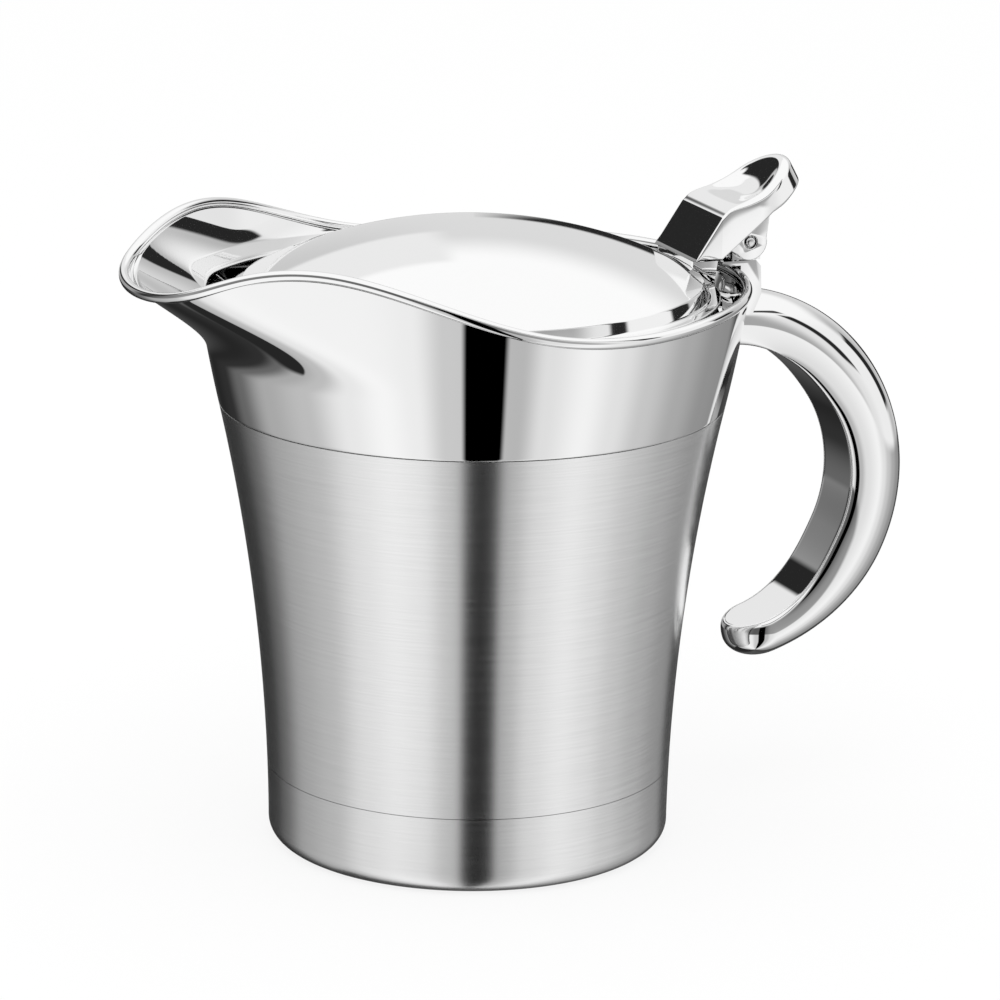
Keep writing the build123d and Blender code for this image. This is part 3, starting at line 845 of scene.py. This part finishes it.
def lever_ring(x):
    """A slanted ring across the lever: a top that is dished inside its round edges, and a flat foot."""
    lean = TIP_LEAN * smooth_step(x, BROW_TOP[0], TIP_TOP[0])
    top = np.interp(x, top_line[:, 0], top_line[:, 1])
    low = np.interp(x + lean, bottom_line[:, 0], bottom_line[:, 1])
    # past the start of the round tip, the ring narrows along a circle
    past = max(x - TIP_START, 0.0)
    half = sqrt(LEVER_HALF**2 - past**2)
    edge = BROW_EDGE + (TIP_EDGE - BROW_EDGE) * smooth_step(x, BROW_TOP[0], EDGE_FULL)
    edge = min(edge, (x - BROW_FOOT[0]) * 0.5)
    across = half * np.sin(np.linspace(-pi / 2, pi / 2, ACROSS))
    out = np.hypot(past, across)
    near = np.clip((out - LEVER_HALF + edge) / edge, 0, 1)
    drop = edge * (1 - np.sqrt(np.maximum(1 - near**2, 0)))
    hollow = DISH_DEPTH * smooth_step(x, DISH_START, DISH_FULL)
    dish = hollow * (1 - np.clip(out / (LEVER_HALF - edge), 0, 1) ** DISH_FLATNESS) ** DISH_BORDER
    ring = [(s, y, z) for s, y, z in zip(drop, across, top - drop - dish)]
    foot = min(FOOT_EDGE, edge)
    for t in np.linspace(0, pi / 2, 6):
        z = low + foot - foot * sin(t)
        ring.append((top - z, half - foot * (1 - cos(t)) * half / LEVER_HALF, z))
    ring += [(s, -y, z) for s, y, z in reversed(ring[ACROSS:])]
    slant = lean / max(top - low, 1.0)
    return [(PIN_X + x + slant * s, y, PIN_Z + z) for s, y, z in ring]


# %% The lever's cap
EAR_OUT, EAR_IN = 9.2, 7.4
# the rings crowd where the brow bends into the crest and towards the round tip
lever_xs = np.concatenate((
    np.linspace(BROW_FOOT[0] + 0.05, BROW_TOP[0] - 0.5, 14),
    np.linspace(BROW_TOP[0] - 0.3, BROW_TOP[0] + 0.3, 7),
    np.linspace(BROW_TOP[0] + 0.5, TIP_START, 50),
    TIP_START + LEVER_HALF * np.sin(np.linspace(0.02, pi / 2 - 0.01, 70)),
))
hollow_side = [(-11.4, -5), (-6.0, 4.6), (-5.2, 5.6), (-0.8, 7.0), (2.9, 7.2), (2.9, -5)]
cavity = prism(hollow_side, -EAR_IN, EAR_IN)
cap_rings = [lever_ring(x) for x in lever_xs]
cap_mesh = worked(ring_mesh(cap_rings, wrap=False, ends=True), [cavity])
print("cap:", len(cap_mesh.polygons), "faces")

# %% The ears and the whole lever
EAR_RADIUS, EAR_BORE, EAR_BEVEL = 3.9, 1.45, 0.25
BORE_SIDES = 64
bore_turn = np.linspace(0, 2 * pi, BORE_SIDES, endpoint=False)
bore_circle = EAR_BORE * np.stack((np.cos(bore_turn), np.sin(bore_turn)), 1)
round_end = [(EAR_RADIUS * cos(t), EAR_RADIUS * sin(t)) for t in np.linspace(0.25, -2.45, 40)]
ear_profile = [(4.6, 7.2)] + round_end + [(-5.3, -1.4), (-4.5, 3.5)]
ears = []
for low, high in ((EAR_IN, EAR_OUT), (-EAR_OUT, -EAR_IN)):
    hole = prism(bore_circle, low - 1, high + 1)
    ears.append(worked(prism(ear_profile, low, high), [hole], EAR_BEVEL))
lever_mesh = joined(cap_mesh, *ears)
finish_piece("lever", lever_mesh, CAST_POLISH, "lid_assembly", "thumb_lever", 40)

# %% [markdown]
# ## Small hinge pieces
# The block, the pin and the bracket are plain solids already in the frame. A copy of each gets its
# loose triangles merged; the block and the bracket also get their edges rounded, because no real edge
# is perfectly sharp.


# %% Hinge block, bracket and pin
SHARP = 35


def softened(node, material, body, bevel):
    """A CAD node's own shape with joined triangles, in the node's place; a bevel above 0 also rounds its
    edges.
    """
    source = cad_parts[node].data
    shape = bmesh.new()
    shape.from_mesh(source)
    bmesh.ops.remove_doubles(shape, verts=shape.verts, dist=1e-6)
    bmesh.ops.dissolve_limit(
        shape, angle_limit=radians(1), verts=shape.verts, edges=shape.edges, delimit={"SHARP"}
    )
    mesh = bpy.data.meshes.new(node)
    shape.to_mesh(mesh)
    shape.free()
    mesh = worked(mesh, bevel=bevel, angle=SHARP)
    finish_piece(node + "_soft", mesh, material, body, node, SHARP)


softened("hinge_block", CAST_POLISH, "boat", 0.3)
softened("lid_bracket", CAST_POLISH, "lid_assembly", 0.15)
softened("hinge_pin", PIN_STEEL, "boat", 0.0)

# %% [markdown]
# ## The table and the studio
# Polished steel has hardly any look of its own: it shows the room. A product studio is pale all round,
# with two wide bright walls at the front, a dark gap where the camera looks in, and darker ends that
# draw the edges of the metal. The world holds these as a pattern by direction, for glossy rays only;
# the camera sees plain white, and the floor keeps the boat's soft shadow.


# %% Floor
FLOOR_REACH, FLOOR_GREY, FLOOR_GLOW = 3.0, 0.95, 0.8


def pale_floor():
    """A matt square under the boat that glows for the camera, so only the shadow shows on it."""
    mesh = bpy.data.meshes.new("floor")
    corners = [(x * FLOOR_REACH, y * FLOOR_REACH, 0) for x, y in ((-1, -1), (1, -1), (1, 1), (-1, 1))]
    mesh.from_pydata(corners, [], [(0, 1, 2, 3)])
    floor = bpy.data.objects.new("floor", mesh)
    bpy.context.scene.collection.objects.link(floor)
    material = bpy.data.materials.new("pale floor")
    material.use_nodes = True
    tree = material.node_tree
    tree.nodes.clear()
    matt = tree.nodes.new("ShaderNodeBsdfDiffuse")
    matt.inputs["Color"].default_value = (FLOOR_GREY, FLOOR_GREY, FLOOR_GREY, 1)
    glow = tree.nodes.new("ShaderNodeEmission")
    ray = tree.nodes.new("ShaderNodeLightPath")
    seen = math_node(tree, "MAXIMUM", ray.outputs["Is Camera Ray"], ray.outputs["Is Glossy Ray"])
    seen = math_node(tree, "MAXIMUM", seen, ray.outputs["Is Transmission Ray"])
    mix = tree.nodes.new("ShaderNodeMixShader")
    link(tree, math_node(tree, "MULTIPLY", seen, FLOOR_GLOW), mix.inputs["Fac"])
    link(tree, matt.outputs[0], mix.inputs[1])
    link(tree, glow.outputs[0], mix.inputs[2])
    out = tree.nodes.new("ShaderNodeOutputMaterial")
    link(tree, mix.outputs[0], out.inputs["Surface"])
    mesh.materials.append(material)
    floor.visible_glossy = False
    print("floor:", 2 * FLOOR_REACH, "m wide")


pale_floor()


# %% Node helpers for a pattern by direction
def ramp(tree, value, stops):
    """Brightness all round, through stops of (direction in degrees, brightness)."""
    node = tree.nodes.new("ShaderNodeValToRGB")
    node.color_ramp.interpolation = "EASE"
    elements = node.color_ramp.elements
    while len(elements) < len(stops):
        elements.new(0.5)
    # the places come first, because a stop that passes another swaps with it
    for element, (place, _) in zip(elements, stops):
        element.position = (place + 180) / 360
    for element, (_, grey) in zip(elements, stops):
        element.color = (grey, grey, grey, 1)
    share = tree.nodes.new("ShaderNodeMapRange")
    link(tree, value, share.inputs["Value"])
    share.inputs["From Min"].default_value = -180.0
    share.inputs["From Max"].default_value = 180.0
    link(tree, share.outputs["Result"], node.inputs["Fac"])
    return node.outputs["Color"]


def edge_mask(tree, value, middle, half, soft):
    """1 within half of the middle and 0 outside, with a soft edge, all in degrees."""
    away = math_node(tree, "ABSOLUTE", math_node(tree, "SUBTRACT", value, middle))
    share = tree.nodes.new("ShaderNodeMapRange")
    share.interpolation_type = "SMOOTHSTEP"
    link(tree, away, share.inputs["Value"])
    share.inputs["From Min"].default_value = half - soft
    share.inputs["From Max"].default_value = half + soft
    share.inputs["To Min"].default_value = 1.0
    share.inputs["To Max"].default_value = 0.0
    return share.outputs["Result"]


def mixed(tree, mask, a, b):
    """a where the mask is 0, b where it is 1. Each is a socket or a grey."""
    node = tree.nodes.new("ShaderNodeMix")
    node.data_type = "RGBA"
    link(tree, mask, node.inputs["Factor"])
    for socket, value in ((node.inputs["A"], a), (node.inputs["B"], b)):
        if isinstance(value, (int, float)):
            socket.default_value = (value, value, value, 1)
        else:
            link(tree, value, socket)
    return node.outputs["Result"]


def fade(tree, value, start, end):
    """0 below start, 1 above end and smooth between."""
    node = tree.nodes.new("ShaderNodeMapRange")
    node.interpolation_type = "SMOOTHSTEP"
    link(tree, value, node.inputs["Value"])
    node.inputs["From Min"].default_value = start
    node.inputs["From Max"].default_value = end
    return node.outputs["Result"]


# %% [markdown]
# The walls below are brightnesses by direction, counted in degrees from the side where the camera
# stands. A photographer sets them so: look at a stripe on the metal, find the direction that it
# mirrors, and make that part of the room paler or darker. Cards are small flat boards that do the same
# for one face of the boat.

# %% The walls and cards of the studio
VIEW_TURN = 22.0
CAMERA_SIDE = radians(-90 - VIEW_TURN)
# the lit table and the low walls, which the body and the collar mirror
LOW_WALLS = [
    (-180, 0.08), (-158, 0.02), (-142, 0.03), (-128, 0.14), (-107, 0.42), (-83, 0.54), (-60, 0.86),
    (-41, 0.98), (-26, 0.9), (-12, 0.62), (22, 0.5), (34, 0.78), (54, 0.95), (70, 0.8), (86, 0.6),
    (107, 0.42), (128, 0.3), (140, 0.28), (150, 0.05), (180, 0.08),
]
# the walls at the boat's height and above, which the lid, the lever and the handle mirror
HIGH_WALLS = [
    (-180, 0.72), (-165, 0.6), (-150, 0.35), (-137, 0.35), (-120, 0.03), (-95, 0.2), (-70, 0.3),
    (-45, 0.2), (-15, 0.1), (15, 0.15), (34, 0.3), (50, 0.4), (66, 0.8), (87, 0.9), (110, 0.9),
    (128, 0.5), (158, 0.72), (180, 0.72),
]
# the heights in degrees where the low walls fade into the high ones, these into the bright ceiling, and
# the dark gap into the wall
WALL_CHANGE, CEILING, GAP_TOP = (-11.0, -8.0), (22.0, 38.0), (20.0, 30.0)
# the dark gap that the camera looks in through
GAP_MIDDLE, GAP_HALF = 5.6, 9.6
SOFT_EDGE = 1.5
PALE, DARK = 0.85, 0.02
# each card's direction, height, half width and half height in degrees, its slope and its brightness
CARDS = {
    "behind the thumb rest and the handle's end": (-155.0, 29.0, 22.0, 10.0, 0.0, PALE),
    "for the brow and the end of the thumb rest": (-134.0, 24.0, 23.0, 7.3, 0.56, DARK),
    "for the line on the handle's back": (77.5, 20.0, 5.0, 14.0, 0.0, DARK),
    "for the inside of the spout": (122.5, 9.5, 8.5, 10.5, 0.0, DARK),
    "for the dark shape under the spout": (-128.0, -66.0, 27.0, 15.0, 0.0, DARK),
    "for the line on the lid": (40.0, 40.0, 44.0, 2.5, 0.0, DARK),
    "for the dark edge of the handle": (165.0, -3.0, 14.0, 7.0, 0.0, DARK),
}


def studio():
    """The world: walls, gap, ceiling and cards for mirrored rays, plain white for the camera."""
    world = bpy.data.worlds.new("studio")
    bpy.context.scene.world = world
    world.use_nodes = True
    tree = world.node_tree
    sky = tree.nodes["Background"]
    place = tree.nodes.new("ShaderNodeTexCoord")
    split = tree.nodes.new("ShaderNodeSeparateXYZ")
    link(tree, place.outputs["Generated"], split.inputs[0])
    turn = math_node(tree, "ARCTAN2", split.outputs[1], split.outputs[0])
    turn = math_node(tree, "SUBTRACT", turn, CAMERA_SIDE)
    turn = math_node(tree, "MULTIPLY", math_node(tree, "WRAP", turn, pi, -pi), 180 / pi)
    height = math_node(tree, "MULTIPLY", math_node(tree, "ARCSINE", split.outputs[2]), 180 / pi)
    low, high = ramp(tree, turn, LOW_WALLS), ramp(tree, turn, HIGH_WALLS)
    room = mixed(tree, fade(tree, height, *WALL_CHANGE), low, high)
    below = math_node(tree, "SUBTRACT", 1.0, fade(tree, height, *GAP_TOP))
    gap = math_node(tree, "MULTIPLY", edge_mask(tree, turn, GAP_MIDDLE, GAP_HALF, SOFT_EDGE), below)
    room = mixed(tree, gap, room, 0.0)
    room = mixed(tree, fade(tree, height, *CEILING), room, 1.0)
    for side, up, wide, tall, slope, grey in CARDS.values():
        lean = math_node(tree, "MULTIPLY", math_node(tree, "SUBTRACT", turn, side), slope)
        level = math_node(tree, "SUBTRACT", height, lean)
        across = edge_mask(tree, turn, side, wide, SOFT_EDGE)
        card = math_node(tree, "MULTIPLY", across, edge_mask(tree, level, up, tall, SOFT_EDGE))
        room = mixed(tree, card, room, grey)
    ray = tree.nodes.new("ShaderNodeLightPath")
    room = mixed(tree, ray.outputs["Is Glossy Ray"], 1.0, room)
    room = mixed(tree, ray.outputs["Is Camera Ray"], room, 1.0)
    link(tree, room, sky.inputs["Color"])
    sky.inputs["Strength"].default_value = 1.0
    print("studio:", len(CARDS), "cards in front of the walls")


studio()

# %% [markdown]
# ## One lamp
# Mirrors are lit by what they show, so one weak, large lamp above is enough: it draws the soft shadow
# round the foot. Mirrored rays don't see the lamp itself, or its square would show on the lid.


# %% Softbox
def softbox(name, place, aim, size, power):
    """A square area lamp that points at a place on the boat."""
    lamp = bpy.data.lights.new(name, "AREA")
    lamp.shape = "SQUARE"
    lamp.size = size
    lamp.energy = power
    holder = bpy.data.objects.new(name, lamp)
    holder.location = place
    holder.rotation_euler = (Vector(aim) - Vector(place)).to_track_quat("-Z", "Y").to_euler()
    holder.visible_glossy = False
    bpy.context.scene.collection.objects.link(holder)
    print(f"{name}: {size} m wide, {power} W")


softbox("overhead softbox", place=(-0.2, -0.3, 1.1), aim=(0, 0, 0.08), size=0.7, power=2.0)

# %% [markdown]
# ## The camera
# The photographer stood a metre away, a little above the lid, and turned the spout to the left. The
# camera's place and its three turns were worked out from the circles of the seam, the lid and the
# foot, so the picture has the same perspective.

# %% Camera
CAMERA_AWAY, CAMERA_HEIGHT = 1000.0, 345.3
YAW, PITCH, ROLL = radians(0.357), radians(15.153), radians(-0.73)
LENS, SENSOR = 174.05, 36.0


def photo_camera():
    """A camera at the photographer's place, turned by the yaw, the pitch and the roll in this order."""
    turn = radians(VIEW_TURN)
    right = Vector((cos(turn), -sin(turn), 0))
    ahead = Vector((sin(turn), cos(turn), 0))
    up = Vector((0, 0, 1))
    right, ahead = right * cos(YAW) - ahead * sin(YAW), right * sin(YAW) + ahead * cos(YAW)
    up, ahead = up * cos(PITCH) + ahead * sin(PITCH), ahead * cos(PITCH) - up * sin(PITCH)
    right, up = right * cos(ROLL) - up * sin(ROLL), right * sin(ROLL) + up * cos(ROLL)
    data = bpy.data.cameras.new("camera")
    data.lens = LENS
    data.sensor_width = SENSOR
    camera = bpy.data.objects.new("camera", data)
    place = Vector((-sin(turn), -cos(turn), 0)) * CAMERA_AWAY + Vector((0, 0, CAMERA_HEIGHT))
    axes = Matrix((right, up, -ahead)).transposed().to_4x4()
    camera.matrix_world = Matrix.Translation(place * MM) @ axes
    bpy.context.scene.collection.objects.link(camera)
    bpy.context.scene.camera = camera
    print("camera:", round(CAMERA_AWAY), "mm away, with a", round(LENS), "mm lens")


photo_camera()
bpy.context.scene.view_settings.view_transform = "Standard"
